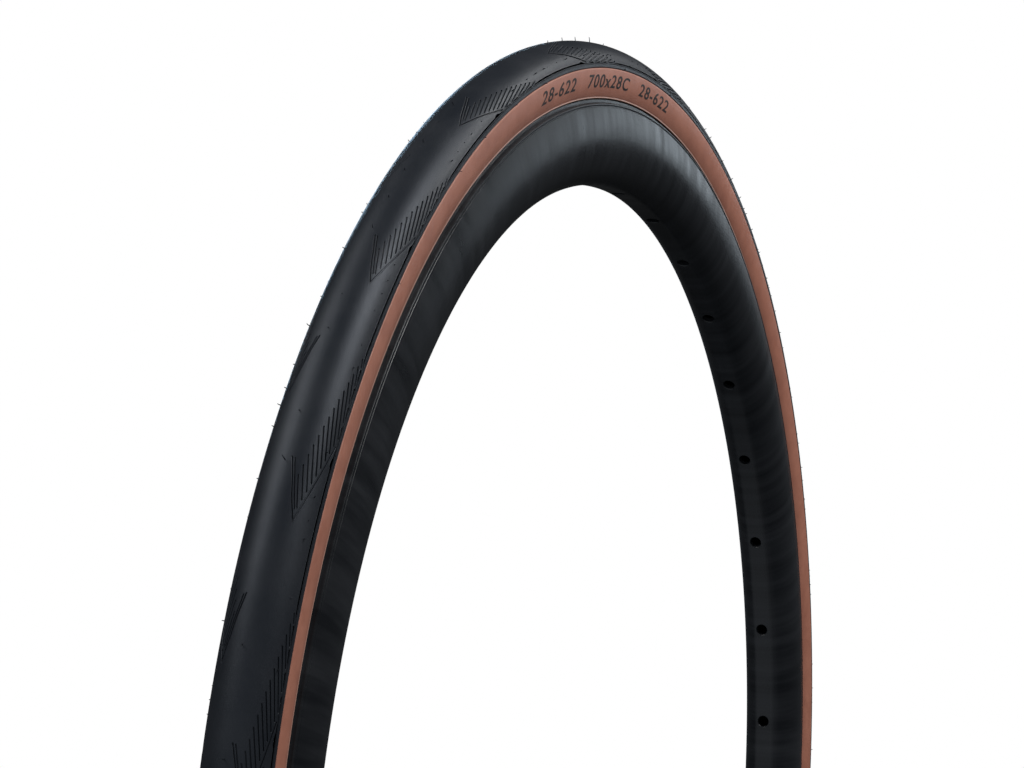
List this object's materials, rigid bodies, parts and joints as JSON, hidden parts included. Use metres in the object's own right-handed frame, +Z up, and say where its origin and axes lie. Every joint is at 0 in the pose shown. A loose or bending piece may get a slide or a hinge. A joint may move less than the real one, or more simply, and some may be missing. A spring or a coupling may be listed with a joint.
{
  "type": "bicycle tyre",
  "caption": "Slick road bicycle tyre with shoulder grooves and tan-brown sidewalls, inflated on a deep black rim with tube and valve.",
  "frame": {"origin": "centre of the wheel, on its axle line and in its middle plane", "axes": "+Y along the axle line, towards the wheel's right side; +Z up, with the valve at the bottom pointing to +Z; the wheel stands in the XZ plane"},
  "size_m": [0.678, 0.0268, 0.678],
  "materials": {
    "tread_rubber": "satin black tread rubber",
    "bronze_rubber": "tan-brown sidewall rubber",
    "casing_cord": "rubbered cord ply",
    "belt_weave": "woven belt",
    "aramid_cord": "wound fibre hoop",
    "butyl": "smooth black rubber",
    "carbon": "satin black composite",
    "tape_cloth": "woven tape",
    "valve_metal": "nickel-plated",
    "brass": "bare",
    "cap_plastic": "moulded black"
  },
  "bodies": {
    "wheel": {"tread_cap": "tread_rubber", "puncture_belt": "belt_weave", "casing": "casing_cord", "sidewall_left": "bronze_rubber", "sidewall_right": "bronze_rubber", "bead_core_left": "aramid_cord", "bead_core_right": "aramid_cord", "chafer_left": "casing_cord", "chafer_right": "casing_cord", "inner_tube": "butyl", "rim": "carbon", "rim_tape": "tape_cloth", "valve_base": "butyl", "valve_stem": "valve_metal", "valve_core_body": "brass", "valve_core_gasket": "butyl"},
    "cap": {"valve_cap": "cap_plastic"},
    "lock_ring": {"valve_lock_ring": "valve_metal"},
    "pin": {"valve_core_pin": "brass", "valve_core_seal": "butyl"},
    "nut": {"valve_core_nut": "brass"}
  },
  "joints": [
    {"name": "valve_cap_removal", "type": "slide", "parent": "wheel", "child": "cap", "axis": [0, 0, 1], "range_m": [0, 0.04]},
    {"name": "lock_ring_travel", "type": "slide", "parent": "wheel", "child": "lock_ring", "axis": [0, 0, 1], "range_m": [0, 0.012]},
    {"name": "valve_pin_press", "type": "slide", "parent": "wheel", "child": "pin", "axis": [0, 0, 1], "range_m": [-0.0015, 0], "stiffness_N_per_m": 60, "springref_m": 0.0005},
    {"name": "valve_nut_travel", "type": "slide", "parent": "pin", "child": "nut", "axis": [0, 0, 1], "range_m": [0, 0.003]}
  ],
  "couplings": [
    {"joint": "valve_nut_travel", "follows": "valve_pin_press", "ratio": -2}
  ]
}
